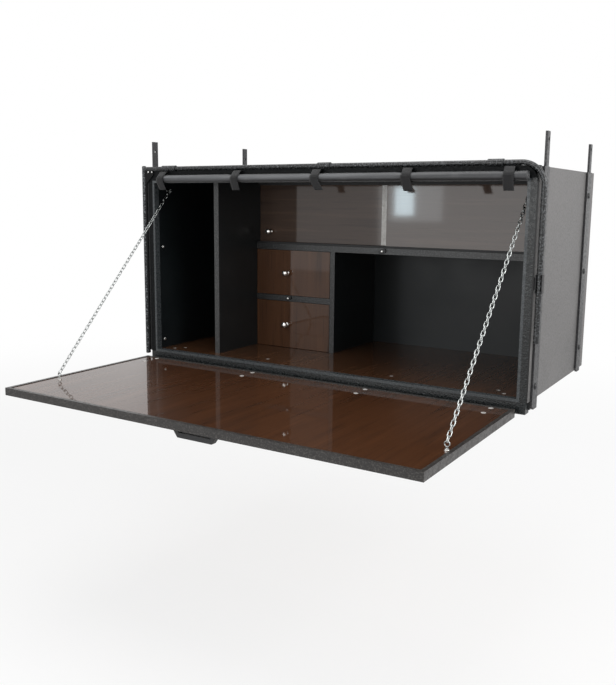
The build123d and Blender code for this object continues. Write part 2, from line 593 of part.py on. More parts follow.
door_contact_z = door_face + EYE_WASHER_T + EYE_NUT_T + EYE_STAND + EYE_R
chains = {}
for name, x, side, eye_y in (("chain_left", chain_left_x, 1, WALL_EYE_LEFT), ("chain_right", chain_right_x, -1, WALL_EYE_RIGHT)):
    wall_x = in_left if side == 1 else in_right
    to_door = Vector(0, DOOR_EYE_Y - eye_y, door_contact_z - wall_eye_z).normalized()
    centre = Vector(x, eye_y, wall_eye_z)
    normal = Vector(1, 0, 0).cross(to_door)
    ring = eye_ring(tuple(centre), tuple(normal))
    near, far = sorted((x - side * EYE_R, wall_x - side * EYE_SCREW))
    stem = rod_x(near, far, eye_y, wall_eye_z, EYE_BOLT_R)
    flange = rod_x(*sorted((wall_x, wall_x + side * EYE_WASHER_T)), eye_y, wall_eye_z, EYE_WASHER_R * 0.8)
    wall_eyes.append(ring + stem + flange)

    wall_contact = centre + to_door * EYE_R
    door_contact = Vector(x, DOOR_EYE_Y, door_contact_z)
    run = door_contact - wall_contact
    u = run.normalized()
    grip_offset = (LINK_WIRE + EYE_WIRE) / 2 + LINK_PLAY
    # distance from an eye's wire to the middle of the link that hangs in it
    # follows from the pitch, and the pitch from the length that is left
    pitch = (run.length - LINK_PLAY - LINK_WIRE + 2 * grip_offset) / LINK_COUNT
    inner = pitch + LINK_PLAY
    first = (inner + LINK_WIRE) / 2 - grip_offset
    mean_r = (LINK_W - LINK_WIRE) / 2
    straight = inner + LINK_WIRE - 2 * mean_r
    # one link: flat oval of wire in its own XY plane, long along X
    path = Wire([
        Edge.make_line((-straight / 2, mean_r, 0), (straight / 2, mean_r, 0)),
        Edge.make_three_point_arc((straight / 2, mean_r, 0), (straight / 2 + mean_r, 0, 0), (straight / 2, -mean_r, 0)),
        Edge.make_line((straight / 2, -mean_r, 0), (-straight / 2, -mean_r, 0)),
        Edge.make_three_point_arc((-straight / 2, -mean_r, 0), (-straight / 2 - mean_r, 0, 0), (-straight / 2, mean_r, 0)),
    ])
    section = Plane(origin=(0, mean_r, 0), z_dir=(1, 0, 0)) * Circle(LINK_WIRE / 2)
    link = sweep(section, path=path)
    links = []
    flat = Vector(1, 0, 0)
    for i in range(LINK_COUNT):
        at = wall_contact + u * (first + i * pitch)
        up = flat if i % 2 == 0 else u.cross(flat)
        links.append(Plane(origin=at, x_dir=u, z_dir=up).location * link)
    chains[name] = links
    print(name, "links", LINK_COUNT, "pitch", round(pitch, 3), "run", round(run.length, 1))

keep("door_board", board)
keep("door_laminate", face)
keep("door_skin", skin)
keep("door_edging", edging)
keep("hinge_straps", *hinge_straps)
keep("hinge_bolts", *hinge_bolts)
keep("hinge_leaves", *hinge_leaves)
keep("hinge_pins", *hinge_pins)
keep("door_eyes", *door_eyes)
keep("door_eye_nuts", *door_nuts)
keep("wall_eyes", *wall_eyes)
keep("chain_left", *chains["chain_left"])
keep("chain_right", *chains["chain_right"])

handle_y0 = door_free + HANDLE_BACK
handle_y1 = handle_y0 + HANDLE_DEPTH
hl = FRAME_W / 2 + HANDLE_OFF
hr = hl + HANDLE_W
low = door_under - HANDLE_DROP
grip_shape = slab_xz([(hl, door_under), (hl + HANDLE_SLANT - 2, low + 2), (hl + HANDLE_SLANT, low), (hr - HANDLE_SLANT, low),
                      (hr - HANDLE_SLANT + 2, low + 2), (hr, door_under)], handle_y0, handle_y1)
hollow = slab_xz([(hl + HANDLE_BAR + 4, door_under + 1), (hl + HANDLE_SLANT + HANDLE_BAR - 4, low + HANDLE_GRIP),
                  (hr - HANDLE_SLANT - HANDLE_BAR + 4, low + HANDLE_GRIP), (hr - HANDLE_BAR - 4, door_under + 1)],
                 handle_y0 - 1, handle_y1 + 1)
keep("door_handle", grip_shape - hollow)

# ---------------------------------------------------------------- hanging bars and bolts
def hanging_bar(y, low, side, rise):
    half, slim, bar_top = BAR_W / 2, TONGUE_W / 2, FRAME_H + rise
    outline = [(y - half + BAR_CHAMFER, low), (y + half, low), (y + half, box_top), (y + slim, box_top), (y + slim, bar_top),
               (y - slim, bar_top), (y - slim, box_top), (y - half, box_top), (y - half, low + BAR_CHAMFER)]
    x0, x1 = (left_bar_x - BAR_T, left_bar_x) if side == "left" else (right_bar_x, right_bar_x + BAR_T)
    bar = slab_yz(outline, x0, x1)
    bar = bar - rod_x(x0 - 1, x1 + 1, y, bar_hole_z, BAR_HOLE_R)
    return drill(bar, side)


keep("hangers_front", hanging_bar(FRONT_BAR_Y, FRONT_BAR_LOW, "left", LEFT_BAR_RISE[0]),
     hanging_bar(FRONT_BAR_Y, FRONT_BAR_LOW, "right", RIGHT_BAR_RISE[0]))
keep("hangers_rear", hanging_bar(rear_bar_left, REAR_BAR_LOW, "left", LEFT_BAR_RISE[1]),
     hanging_bar(rear_bar_right, REAR_BAR_LOW, "right", RIGHT_BAR_RISE[1]))

bolts = []
for side, y, z in bar_bolts:
    s = 1 if side == "left" else -1
    out_x = left_bar_x - BAR_T if side == "left" else right_bar_x + BAR_T
    wall_x = in_left if side == "left" else in_right
    bolt = rod_x(*sorted((out_x, wall_x)), y, z, BAR_BOLT_R)
    bolt = bolt + dome((out_x, y, z), (-s, 0, 0), BOLT_HEAD_R, BOLT_HEAD_T, 1.0)
    bolt = bolt + dome((wall_x, y, z), (s, 0, 0), BOLT_END_R, BOLT_END_T, 1.0)
    bolts.append(bolt)
keep("hanger_bolts", *bolts)

screws = []
for x, y in floor_screws:
    screws.append(sunk_screw(x, y, floor_z - SINK_BELOW, SCREW_LENGTH, 0))
keep("floor_screws", *screws)

# ---------------------------------------------------------------- awning tube
tube_start = leg_left_x + TUBE_R + 0.05
bend_x = leg_right_x - TUBE_BEND_R
tube_path = Wire([
    Edge.make_line((tube_start, 0, tube_z), (bend_x, 0, tube_z)),
    Edge.make_three_point_arc((bend_x, 0, tube_z),
                              (bend_x + TUBE_BEND_R * math.sin(math.pi / 4), 0, tube_z - TUBE_BEND_R * (1 - math.cos(math.pi / 4))),
                              (leg_right_x, 0, tube_z - TUBE_BEND_R)),
    Edge.make_line((leg_right_x, 0, tube_z - TUBE_BEND_R), (leg_right_x, 0, LEG_RIGHT_LOW)),
])
tube_section = Plane(origin=(tube_start, 0, tube_z), z_dir=(1, 0, 0)) * (Circle(TUBE_R) - Circle(TUBE_R - TUBE_WALL))
keep("awning_rail", sweep(tube_section, path=tube_path))
leg = (rod_z(LEG_LEFT_LOW, tube_z + TUBE_R, leg_left_x, 0, TUBE_R)
       - rod_z(LEG_LEFT_LOW - 1, tube_z + TUBE_R + 1, leg_left_x, 0, TUBE_R - TUBE_WALL))
gx = leg_left_x + TUBE_R - TUBE_WALL / 2
gz = tube_z - TUBE_R - 0.05
gusset = slab_xz([(gx, gz), (gx + GUSSET_W, gz), (gx + GUSSET_W, gz - 12), (gx + GUSSET_TAIL_W, gz - GUSSET_H),
                  (gx + GUSSET_TAIL_W, LEG_LEFT_LOW), (gx, LEG_LEFT_LOW)], -GUSSET_T - 0.6, -0.6)
screws = []
for x in GUSSET_SCREW_X:
    z = tube_z - GUSSET_SCREW_DROP
    gusset = gusset - rod_y(-GUSSET_T - 1, 0, x, z, GUSSET_SCREW_R + BAR_BOLT_FIT)
    screws.append(rod_y(-GUSSET_T - 0.6, -0.6, x, z, GUSSET_SCREW_R)
                  + dome((x, -GUSSET_T - 0.6, z), (0, -1, 0), GUSSET_HEAD_R, SCREW_HEAD_T, 0.5))
keep("gusset_screws", *screws)
leg = leg + (gusset - rod_z(LEG_LEFT_LOW, tube_z + TUBE_R, leg_left_x, 0, TUBE_R - TUBE_WALL / 2))
keep("awning_leg", leg)


def tube_cap(x, z, way):
    r = TUBE_R - TUBE_WALL
    return (turned([(-8.0, 0), (-8.0, r - 0.1), (0, r - 0.1), (0, TUBE_R), (CAP_T * 0.4, TUBE_R), (CAP_T * 0.85, TUBE_R * 0.7), (CAP_T, TUBE_R * 0.3), (CAP_T, 0)],
                   (x, 0, z), (0, 0, way)))


keep("awning_caps", tube_cap(leg_left_x, LEG_LEFT_LOW, -1), tube_cap(leg_left_x, tube_z + TUBE_R, 1), tube_cap(leg_right_x, LEG_RIGHT_LOW, -1))

barrels = []
for x0, x1 in barrel_spans:
    spans = [(x0, BARREL_SLIT), (BARREL_SLIT + 1.0, x1)] if x0 < BARREL_SLIT < x1 else [(x0, x1)]
    for a, b in spans:
        barrel = rod_x(a, b, 0, tube_z, BARREL_R) - rod_x(a - 1, b + 1, 0, tube_z, TUBE_R + BARREL_FIT)
        barrel = barrel - block(a - 1, b + 1, 0, ANGLE_FLANGE, FRAME_H - FACE_TOP, FRAME_H)
        barrels.append(barrel)
keep("awning_barrels", *barrels)

jaw = TUBE_R + CLIP_FIT
clip = block(leg_right_x - jaw - CLIP_T, leg_right_x + jaw + CLIP_T, -CLIP_REACH, jaw + CLIP_T, CLIP_LOW, CLIP_HIGH)
clip = clip - block(leg_right_x - jaw, leg_right_x + jaw, -CLIP_REACH - 1, jaw, CLIP_LOW - 1, CLIP_HIGH + 1)
clip = clip + block(right_bar_x, leg_right_x - jaw, jaw + CLIP_T - 5.0, jaw + CLIP_T, CLIP_LOW + 8, CLIP_HIGH - 8)
keep("awning_clip", clip)

# ---------------------------------------------------------------- rolled sheet and straps
stations = [(0, 0), (0, ROLL_R * 0.93), (3, ROLL_R)]
for left, width, *_ in straps:
    mid = left + width / 2 - ROLL_LEFT
    for offset, r in ((-ROLL_WAIST, ROLL_R), (-ROLL_WAIST / 2, ROLL_WAIST_R), (ROLL_WAIST / 2, ROLL_WAIST_R), (ROLL_WAIST, ROLL_R)):
        at = mid + offset
        if 4 < at < roll_right - ROLL_LEFT - 4:
            stations.append((at, r))
length = roll_right - ROLL_LEFT
stations += [(length - 3, ROLL_R), (length, ROLL_R * 0.93), (length, 0)]
first_waist = straps[0][0] + straps[0][1] / 2 - ROLL_LEFT
stations = [(0, 0), (0, ROLL_WAIST_R)] + [s for s in stations[3:] if s[0] > first_waist] if first_waist < ROLL_WAIST else stations
keep("canvas_roll", turned(stations, (ROLL_LEFT, ROLL_Y, roll_z), (1, 0, 0)))

loops, tails = [], []
loop_in = ROLL_WAIST_R + WEBBING_GAP
loop_out = loop_in + WEBBING_T
for left, width, lean, hang in straps:
    right = left + width
    tail_low = roll_z - hang
    loop = rod_x(left, right, ROLL_Y, roll_z, loop_out)
    # band from the roll up to the top of the frame
    loop = loop + slab_yz([(ROLL_Y + loop_out * math.cos(math.radians(110)), roll_z + loop_out * math.sin(math.radians(110)) - 0.3),
                           (-WEBBING_T - 0.2, webbing_top), (-0.2, webbing_top), (-0.2, webbing_top - 14.0),
                           (ROLL_Y + loop_out * math.cos(math.radians(60)), roll_z + loop_out * math.sin(math.radians(60)) - 1.0)],
                          left, right)
    loop = loop - rod_x(left - 1, right + 1, ROLL_Y, roll_z, loop_in)
    loops.append(loop)
    y0 = ROLL_Y - loop_out - 0.1 - WEBBING_T
    tails.append(slab_xz([(left, roll_z + TAIL_TOP), (right, roll_z + TAIL_TOP), (right, roll_z - TAIL_BEND), (right + lean, tail_low),
                          (left + lean, tail_low + 1.5), (left, roll_z - TAIL_BEND)], y0, y0 + WEBBING_T))
keep("strap_loops", *loops)
keep("strap_tails", *tails)

# ---------------------------------------------------------------- to the hanging holes
# origin: middle of the left pair of hanging bolt holes
origin = Vector(left_bar_x - BAR_T / 2, (FRONT_BAR_Y + rear_bar_left) / 2, bar_hole_z)
for name, solids in nodes.items():
    placed = []
    for s in solids:
        for piece in s.solids():
            placed.append(piece.moved(Location(-origin)))
    shape = placed[0] if len(placed) == 1 else Compound(children=placed)
    export_step(shape, f"parts/{name}.step")
print(len(nodes), "nodes, hanging holes", round(rear_bar_left - FRONT_BAR_Y, 1), round(rear_bar_right - FRONT_BAR_Y, 1), "mm apart")
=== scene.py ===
import math

import bmesh
import bpy
from mathutils import Matrix, Vector, noise


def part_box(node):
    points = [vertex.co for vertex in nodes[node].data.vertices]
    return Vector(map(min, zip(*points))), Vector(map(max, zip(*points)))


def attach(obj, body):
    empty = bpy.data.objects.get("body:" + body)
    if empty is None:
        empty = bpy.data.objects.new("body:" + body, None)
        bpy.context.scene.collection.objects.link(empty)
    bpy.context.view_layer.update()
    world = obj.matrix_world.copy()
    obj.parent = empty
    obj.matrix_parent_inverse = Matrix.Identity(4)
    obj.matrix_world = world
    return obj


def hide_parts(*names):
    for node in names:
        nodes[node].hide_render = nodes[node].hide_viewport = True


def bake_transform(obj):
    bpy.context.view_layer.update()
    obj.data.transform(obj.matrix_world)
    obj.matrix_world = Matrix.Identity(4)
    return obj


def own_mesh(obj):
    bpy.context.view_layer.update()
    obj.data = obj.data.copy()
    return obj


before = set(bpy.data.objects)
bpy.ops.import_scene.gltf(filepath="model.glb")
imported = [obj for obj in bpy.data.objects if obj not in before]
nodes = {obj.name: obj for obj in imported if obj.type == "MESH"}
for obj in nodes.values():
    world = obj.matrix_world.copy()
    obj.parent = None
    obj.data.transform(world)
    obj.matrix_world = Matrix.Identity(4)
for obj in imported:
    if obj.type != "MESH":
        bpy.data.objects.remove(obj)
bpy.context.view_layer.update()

# ------------------------------------------------------------------ places and sizes, in millimetres
MM = 0.001
# These four are in metres: the frame's lower left front corner, its right side and two front edges.
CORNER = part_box("frame_left")[0]
RIGHT_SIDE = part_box("frame_right")[1].x
SHELF_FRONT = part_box("shelf")[0].y
DIVIDER_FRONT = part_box("left_divider")[0].y

# The rolled cloth: its middle line, its ends, its turns, the angle at which it stops on the outside, and the
# stretch over which painted shade darkens it to the right, where its painted sheen fades.
ROLL_Y, ROLL_Z = -17.0, 565.0
ROLL_LEFT, ROLL_RIGHT = 60.0, 1184.0
END_GAP = 1.0
TURNS = 14.2
INNER_R, OUTER_R = 1.0, 11.5
CLOTH_THICK = 0.5
OUTER_END = math.radians(238)
SHADE_RIGHT_FROM, SHADE_RIGHT_TO = 640.0, 1150.0

# Each strap: its left edge and width, then how far its tail slants to the right, and how far it hangs below
# the roll's middle.
STRAPS = (
    (60.0, 26.0, 14.0, 32.0),
    (338.0, 26.0, 9.0, 33.0),
    (603.0, 26.0, 17.0, 32.5),
    (868.0, 26.0, 10.0, 35.0),
    (1127.0, 25.5, 4.0, 34.0),
)
STRAP_MIDDLES = [left + width / 2 for left, width, *_ in STRAPS]
STRAP_THICK = 1.3
STRAP_R = 12.0
# The tails: their place in front, their start above the roll's middle, and the straight stretch before they
# slant.
TAIL_Y = -30.8
TAIL_TOP = 4.0
TAIL_STRAIGHT = 10.0

# The chains, with each wire as a radius: the solids' wire sets the pitch, and a thinner one is drawn.
LINKS = 55
WIRE, SOLID_WIRE = 1.15, 1.5
LINK_HALF_WIDTH, LINK_PLAY = 4.0, 0.3
EYE_R, EYE_WIRE = 5.6, 1.3
DOOR_EYE_Y, DOOR_EYE_Z = -402.0, 32.3
WALL_EYE_Z = 531.0

FLOOR_Z = -650.0
FLOOR_REACH = 9000.0

# In pixels of the photograph: its width, the focal length, and how far its middle lies off the lens's axis.
PHOTO_WIDTH = 616
FOCAL_LENGTH = 794.2
MIDDLE_RIGHT, MIDDLE_UP = 5.0, -14.2
SENSOR_WIDTH = 36.0


def spot(x, y, z):
    """A place in millimetres from the lower left front corner of the box's frame."""
    return CORNER + Vector((x, y, z)) * MM


def at_x(x):
    return spot(x, 0, 0).x


def at_y(y):
    return spot(0, y, 0).y


def at_z(z):
    return spot(0, 0, z).z


# ------------------------------------------------------------------ shader sums
class Amount:
    """A shader socket that can be used in sums like a number."""

    def __init__(self, graph, socket):
        self.graph = graph
        self.socket = socket

    def maths(self, operation, first, second):
        return self.graph.node("ShaderNodeMath", {"operation": operation}, {0: first, 1: second})

    def __add__(self, other):
        return self.maths("ADD", self, other)

    def __radd__(self, other):
        return self.maths("ADD", other, self)

    def __mul__(self, other):
        return self.maths("MULTIPLY", self, other)

    def __rmul__(self, other):
        return self.maths("MULTIPLY", other, self)

    def __lt__(self, other):
        return self.maths("LESS_THAN", self, other)

    def __gt__(self, other):
        return self.maths("GREATER_THAN", self, other)


class Graph:
    """The nodes of one finish, or of the room."""

    def __init__(self, tree):
        self.tree = tree
        tree.nodes.clear()

    def plug(self, socket, value):
        """Links an amount to a socket, or sets a colour or a number on it."""
        if isinstance(value, Amount):
            self.tree.links.new(value.socket, socket)
        elif socket.type == "RGBA":
            socket.default_value = (*value, 1.0)
        else:
            socket.default_value = value

    def node(self, kind, settings, values, out=0):
        """A node of any kind, with its settings and its sockets' values or links.

        It hands back one of its outputs, or the node itself where out is None.
        """
        made = self.tree.nodes.new(kind)
        for setting, choice in settings.items():
            setattr(made, setting, choice)
        for key, value in values.items():
            self.plug(made.inputs[key], value)
        return made if out is None else Amount(self, made.outputs[out])


class Finish(Graph):
    """One surface finish. Plain numbers are set on the shader itself."""

    def __init__(self, name, **plain):
        self.material = bpy.data.materials.new(name)
        self.material.use_nodes = True
        super().__init__(self.material.node_tree)
        settled = {socket.replace("_", " "): value for socket, value in plain.items()}
        self.shader = self.node("ShaderNodeBsdfPrincipled", {}, settled, out=None)
        self.surface = Amount(self, self.shader.outputs[0])
        self.end = self.node("ShaderNodeOutputMaterial", {}, {0: self.surface}, out=None)
        self.place = self.node("ShaderNodeTexCoord", {}, {}, "Object")

    def set(self, socket, value):
        self.plug(self.shader.inputs[socket], value)

    def axis(self, letter):
        return self.node("ShaderNodeSeparateXYZ", {}, {0: self.place}, letter)

    def stretched(self, x, y, z):
        return self.node("ShaderNodeVectorMath", {"operation": "MULTIPLY"}, {0: self.place, 1: (x, y, z)})

    def grained(self, along, lengthwise, crosswise):
        """The place stretched for a grain that runs along one axis."""
        return self.stretched(*(lengthwise if letter == along else crosswise for letter in "XYZ"))

    def jostled(self, reach):
        """The place pushed about by a fine cloud, which makes the cells on it uneven."""
        plugs = {"Vector": self.place, "Scale": 220.0, "Detail": 1.0}
        push = self.node("ShaderNodeTexNoise", {}, plugs, "Color")
        push = self.node("ShaderNodeVectorMath", {"operation": "SCALE"}, {0: push, "Scale": reach})
        return self.node("ShaderNodeVectorMath", {"operation": "ADD"}, {0: self.place, 1: push})

    def cloud(self, place, scale, detail=2.0, rough=0.5):
        plugs = {"Vector": place, "Scale": scale, "Detail": detail, "Roughness": rough}
        return self.node("ShaderNodeTexNoise", {}, plugs)

    def cells(self, place, scale, feature="F1"):
        plugs = {"Vector": place, "Scale": scale}
        return self.node("ShaderNodeTexVoronoi", {"feature": feature}, plugs, "Distance")

    def ribs(self, across):
        return self.node("ShaderNodeMath", {"operation": "SINE"}, {0: across})

    def rise(self, value, low, high, start=0.0, end=1.0):
        """Goes smoothly from start to end while the value goes from low to high."""
        plugs = {0: value, 1: low, 2: high, 3: start, 4: end}
        return self.node("ShaderNodeMapRange", {"interpolation_type": "SMOOTHSTEP"}, plugs)

    def mix(self, share, first, second):
        """The first colour where share is 0, the second where it is 1."""
        return self.node("ShaderNodeMix", {"data_type": "RGBA"}, {0: share, 6: first, 7: second}, 2)

    def relief(self, height, depth, strength):
        plugs = {"Strength": strength, "Distance": depth, "Height": height}
        self.set("Normal", self.node("ShaderNodeBump", {}, plugs))


def paler(colour, times, lift=0.0):
    """The colour times a number, plus a lift, none of it above white."""
    return tuple(min(1.0, c * times + lift) for c in colour)


# ------------------------------------------------------------------ finishes
WORN_METAL = (0.30, 0.30, 0.29)
BLACK_SHADE = (0.004, 0.0042, 0.0045)
BLACK_EDGE = (0.006, 0.0062, 0.0065)
# Near black: the hanging bolts' real black heads, and the painted shade on the rolled cloth.
BLACK_HEADS_AND_SHADE = (0.012, 0.012, 0.013)
SLATE = (0.0058, 0.0074, 0.0082)
PALE_SLATE = (0.0110, 0.0140, 0.0155)
ZINC = (0.78, 0.78, 0.76)
PLAIN_WHITE = (1.0, 1.0, 1.0)


def hammered_paint(name, pit, crest, cell=0.0032, depth=0.0005, gloss=0.3, wear=0.0, fleck=2.6, shine=0.5,
                   shade_span=None):
    """Hammer-finish paint: round pits with paler crests, and painted black shade inside the given span (left,
    right and top).
    """
    f = Finish(name, IOR=1.5, Specular_IOR_Level=shine)
    drift = f.cloud(f.place, 120.0, 1.0)
    pits = f.cells(f.jostled(cell * 0.5), 1.0 / cell, "SMOOTH_F1")
    crests = f.rise(pits, 0.35, 0.75)
    colour = f.mix(crests, pit, crest)
    flecks = f.rise(f.cloud(f.place, 1.6 / cell, 2.0, 0.7), 0.62, 0.74)
    colour = f.mix(flecks * 0.5, colour, paler(crest, fleck, 0.01))
    if wear:
        worn = f.rise(f.cloud(f.place, 28.0, 4.0, 0.65), 0.66, 0.74) * wear
        colour = f.mix(worn, colour, WORN_METAL)
    # Painted shade: inside the span the colour turns black where there is only shade.
    if shade_span:
        left, right, top = shade_span
        inside = (f.axis("X") > left) * (f.axis("X") < right) * (f.axis("Z") < top)
        colour = f.mix(inside, colour, BLACK_SHADE)
    f.set("Base Color", colour)
    f.set("Roughness", f.rise(drift, 0.3, 0.7, gloss - 0.06, gloss + 0.12))
    f.relief(pits, depth, 0.75)
    return f


def pebbled_sheet(name, low, high):
    """Pebbled covering sheet on the outside of the box, with a black front edge."""
    f = Finish(name, IOR=1.48)
    pebble = 0.0042
    pebbles = f.cells(f.place, 1.0 / pebble, "SMOOTH_F1")
    fine = f.cells(f.place, 2.3 / pebble)
    broad = f.cloud(f.place, 5.0, 3.0, 0.6)
    colour = f.mix(f.rise(pebbles + fine * 0.35, 0.25, 0.95), high, low)
    colour = f.mix(f.rise(broad, 0.35, 0.7) * 0.35, colour, paler(high, 1.35))
    scuffs = f.rise(f.cloud(f.stretched(1.0, 1.0, 0.2), 60.0, 3.0, 0.7), 0.70, 0.78)
    colour = f.mix(scuffs * 0.25, colour, paler(high, 1.8))
    front_edge = (f.axis("Y") < at_y(0.6)) * (f.axis("Y") > at_y(-1))
    f.set("Base Color", f.mix(front_edge, colour, BLACK_EDGE))
    f.set("Roughness", f.rise(broad, 0.3, 0.7, 0.42, 0.52))
    f.relief(pebbles + fine * 0.3, 0.0004, 0.8)
    return f


def faced_board(name, low, high):
    """Dark faced board inside the box, almost smooth."""
    f = Finish(name, IOR=1.48, Specular_IOR_Level=0.3)
    broad = f.cloud(f.place, 4.0, 3.0, 0.55)
    grit = f.cloud(f.place, 900.0, 2.0, 0.6)
    f.set("Base Color", f.mix(f.rise(broad, 0.3, 0.7) * 0.7 + grit * 0.3, low, high))
    f.set("Roughness", f.rise(broad, 0.3, 0.75, 0.31, 0.44))
    f.relief(grit, 0.00006, 0.5)
    return f


def edged_board(name, front_y, pit, crest):
    """Slate board whose front edge is banded in hammered dark grey."""
    f = Finish(name, IOR=1.5)
    pit_size, band_depth = 0.003, 0.0012
    pits = f.cells(f.place, 1.0 / pit_size, "SMOOTH_F1")
    banding = f.axis("Y") < front_y + band_depth
    edge = f.mix(f.rise(pits, 0.3, 0.75), pit, crest)
    broad = f.cloud(f.place, 4.0, 3.0, 0.55)
    f.set("Base Color", f.mix(banding, f.mix(broad, SLATE, PALE_SLATE), edge))
    f.set("Roughness", 0.30 + 0.10 * broad)
    f.relief(pits * banding, 0.0004, 0.7)
    return f


def glossy_wood(name, along, deep, mid, warm, coat=1.0, streak=1.0, coat_rough=0.035):
    """Glossy printed wood laminate; along is the letter of the way the grain runs."""
    f = Finish(name, IOR=1.45, Specular_IOR_Level=0.12, Coat_IOR=1.5)
    f.set("Coat Weight", coat)
    f.set("Coat Roughness", coat_rough)
    grain = f.cloud(f.grained(along, 1.0, 22.0), 2.0, 5.0, 0.62)
    bands = f.cloud(f.grained(along, 0.6, 5.0), 1.4, 2.0, 0.5)
    pores = f.cloud(f.grained(along, 5.0, 260.0), 1.0, 2.0, 0.7)
    colour = f.mix(f.rise(bands, 0.32, 0.68) * 0.5, mid, warm)
    colour = f.mix(f.rise(grain, 0.52, 0.72) * streak, colour, deep)
    colour = f.mix(f.rise(grain, 0.47, 0.30) * 0.45, colour, paler(warm, 1.35))
    colour = f.mix(f.rise(pores, 0.60, 0.72) * 0.55, colour, deep)
    f.set("Base Color", colour)
    f.set("Roughness", 0.40 + 0.12 * grain)
    f.relief(pores, 0.00004, 0.3)
    return f


def bare_board(name, along):
    """Plain light board for drawer boxes and cores."""
    f = Finish(name, IOR=1.45)
    grain = f.cloud(f.grained(along, 2.0, 60.0), 1.5, 5.0, 0.6)
    f.set("Base Color", f.mix(f.rise(grain, 0.35, 0.7), (0.46, 0.32, 0.19), (0.33, 0.20, 0.11)))
    f.set("Roughness", 0.55 + 0.2 * grain)
    f.relief(grain, 0.0002, 0.4)
    return f


def bright_metal(name, colour, dull, rough, cloudy=0.4):
    """Plated or polished metal with a little clouding."""
    f = Finish(name, Metallic=1.0)
    spots = f.cloud(f.place, 260.0, 3.0, 0.6)
    f.set("Base Color", f.mix(f.rise(spots, 0.35, 0.75) * cloudy, colour, dull))
    f.set("Roughness", f.rise(spots, 0.3, 0.8, rough - 0.05, rough + 0.12))
    f.relief(f.cloud(f.place, 900.0, 2.0), 0.00005, 0.35)
    return f


def moulded_black(name, shade, rough):
    """Black moulded plastic with a fine grain."""
    f = Finish(name, IOR=1.46)
    grit = f.cells(f.place, 1100.0)
    broad = f.cloud(f.place, 40.0, 3.0)
    dark = (shade, shade, shade * 1.05)
    f.set("Base Color", f.mix(broad, dark, paler(dark, 2.0)))
    f.set("Roughness", rough + 0.12 * broad)
    f.relief(grit, 0.00012, 0.5)
    return f


def coated_cloth(name):
    """Coated awning cloth: faint weave, soft streaks along the roll, and painted shade that darkens it to the
    right, below and above.
    """
    f = Finish(name, IOR=1.48, Sheen_Weight=0.25, Sheen_Roughness=0.4)
    threads = f.ribs(f.axis("X") * 5200.0) * 0.25 + f.ribs(f.axis("Z") * 5200.0) * 0.25
    streaks = f.cloud(f.stretched(2.0, 90.0, 90.0), 1.0, 4.0, 0.6)
    grime = f.cloud(f.place, 16.0, 4.0, 0.6)
    colour = f.mix(f.rise(streaks, 0.35, 0.7), (0.052, 0.054, 0.058), (0.125, 0.129, 0.136))
    colour = f.mix(f.rise(grime, 0.5, 0.75) * 0.4, colour, (0.17, 0.17, 0.175))
    # Painted shade: the cloth goes dark towards its right end, where a painted sheen fades, and below and
    # above the roll's middle.
    shade_to_right = f.rise(f.axis("X"), at_x(SHADE_RIGHT_FROM), at_x(SHADE_RIGHT_TO))
    below = f.rise(f.axis("Z"), at_z(ROLL_Z - 1), at_z(ROLL_Z - 8))
    above = f.rise(f.axis("Z"), at_z(ROLL_Z + 5), at_z(ROLL_Z + 11))
    colour = f.mix(shade_to_right * 0.6, colour, BLACK_HEADS_AND_SHADE)
    f.set("Base Color", f.mix(below * 0.75 + above * 0.5, colour, BLACK_HEADS_AND_SHADE))
    f.set("Roughness", 0.27 + 0.14 * grime)
    f.relief(threads + streaks * 2.0, 0.0003, 0.5)
    return f


def woven_strap(name, shade):
    """Black webbing with ribs across it."""
    f = Finish(name, IOR=1.45, Specular_IOR_Level=0.3, Sheen_Weight=0.15, Sheen_Roughness=0.5)
    weave = f.ribs((f.axis("Z") + f.axis("Y") * 0.4) * 4200.0) * 0.5 + f.ribs(f.axis("X") * 6200.0) * 0.3
    fuzz = f.cloud(f.place, 700.0, 3.0, 0.7)
    f.set("Base Color", f.mix(f.rise(weave + fuzz * 0.6, -0.4, 1.0), shade, paler(shade, 2.2, 0.003)))
    f.set("Roughness", 0.62 + 0.2 * fuzz)
    f.relief(weave + fuzz * 0.4, 0.0004, 0.7)
    return f


def two_faced_bolts(name):
    """Hanging bolts: black heads outside the box, bright zinc ends inside it."""
    f = Finish(name, IOR=1.5)
    across = f.axis("X")
    inside = (across > CORNER.x) * (across < RIGHT_SIDE)
    grit = f.cloud(f.place, 500.0, 2.0)
    f.set("Base Color", f.mix(inside, BLACK_HEADS_AND_SHADE, f.mix(grit, (0.60, 0.60, 0.58), ZINC)))
    f.set("Metallic", inside)
    f.set("Roughness", 0.30 + 0.08 * grit)
    f.relief(grit, 0.0001, 0.4)
    return f


frame_paint = hammered_paint(
    "frame_hammered_black", (0.0035, 0.0045, 0.005), (0.020, 0.025, 0.026), depth=0.0006, gloss=0.27
)
tube_paint = hammered_paint(
    "tube_hammered_black", (0.006, 0.0065, 0.007), (0.078, 0.083, 0.088),
    cell=0.0034, depth=0.0007, gloss=0.22, fleck=3.0,
)
# Painted shade: the plate at the leg's top is black to the right of the flat that runs down beside the leg,
# where it lies in shade.
PLATE_SHADE_SPAN = (at_x(-10.9), at_x(40), at_z(590.1))
# The leg's crests are far paler than the tube's: a painted sheen on the leg's hammered black paint.
leg_paint = hammered_paint(
    "leg_hammered_black", (0.018, 0.019, 0.020), (0.21, 0.22, 0.23),
    cell=0.0034, depth=0.0007, gloss=0.30, shine=0.14, shade_span=PLATE_SHADE_SPAN,
)
